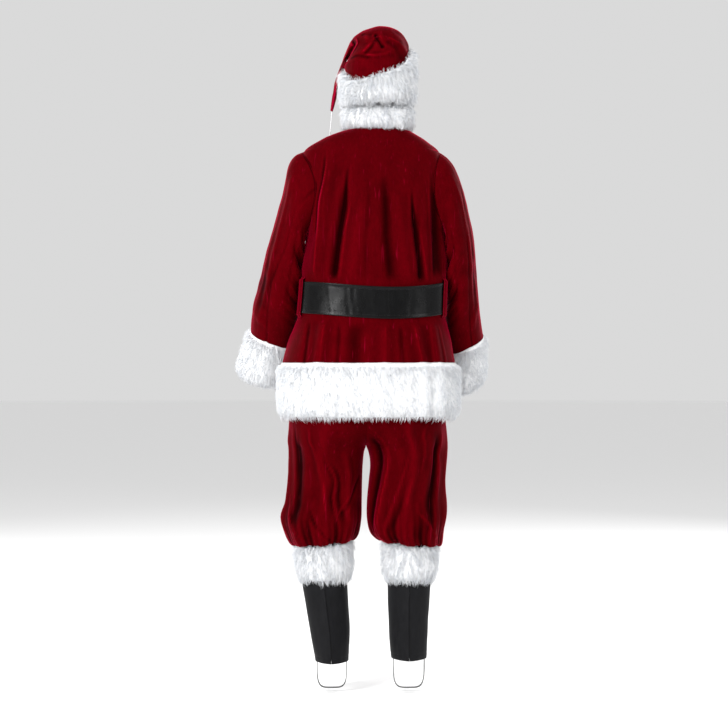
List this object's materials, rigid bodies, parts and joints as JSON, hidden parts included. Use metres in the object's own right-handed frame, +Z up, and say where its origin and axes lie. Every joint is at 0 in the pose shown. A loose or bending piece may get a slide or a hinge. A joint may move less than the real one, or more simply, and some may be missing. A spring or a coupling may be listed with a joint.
{
  "type": "santa suit",
  "caption": "Santa suit in its worn form with no wearer: red velvet jacket with white fur, black belt, breeches, floppy hat with pompom, and black boot tops.",
  "frame": {"origin": "middle of the neck opening, where the wearer's neck carries the suit", "axes": "+Z up, -Y to the wearer's front, +X to the wearer's left"},
  "size_m": [0.7234, 0.4247, 1.8416],
  "materials": {
    "velvet": "crimson panne velvet, glossy nap",
    "white_fur": "long white pile",
    "black_leatherette": "coated cloth, half gloss, crinkled",
    "boot_cloth": "coated cloth, satin",
    "buckle_metal": "gold lacquer",
    "red_elastic": "ribbed elastic",
    "black_elastic": "woven elastic",
    "white_cord": "twisted cord"
  },
  "bodies": {
    "root": {"belt": "black_leatherette", "belt_buckle": "buckle_metal", "belt_loop_left": "velvet", "belt_loop_right": "velvet", "boot_fur_left": "white_fur", "boot_fur_right": "white_fur", "boot_shaft_left": "boot_cloth", "boot_shaft_right": "boot_cloth", "boot_strap_left": "black_elastic", "boot_strap_right": "black_elastic", "breeches_left": "velvet", "breeches_right": "velvet", "collar_fur": "white_fur", "cuff_fur_left": "white_fur", "cuff_fur_right": "white_fur", "hat_band": "white_fur", "hat_cord": "white_cord", "hat_crown": "velvet", "hat_pompom": "white_fur", "hem_fur": "white_fur", "jacket_back": "velvet", "jacket_front_left": "velvet", "jacket_front_right": "velvet", "sleeve_left": "velvet", "sleeve_right": "velvet", "waistband": "red_elastic"}
  },
  "joints": []
}
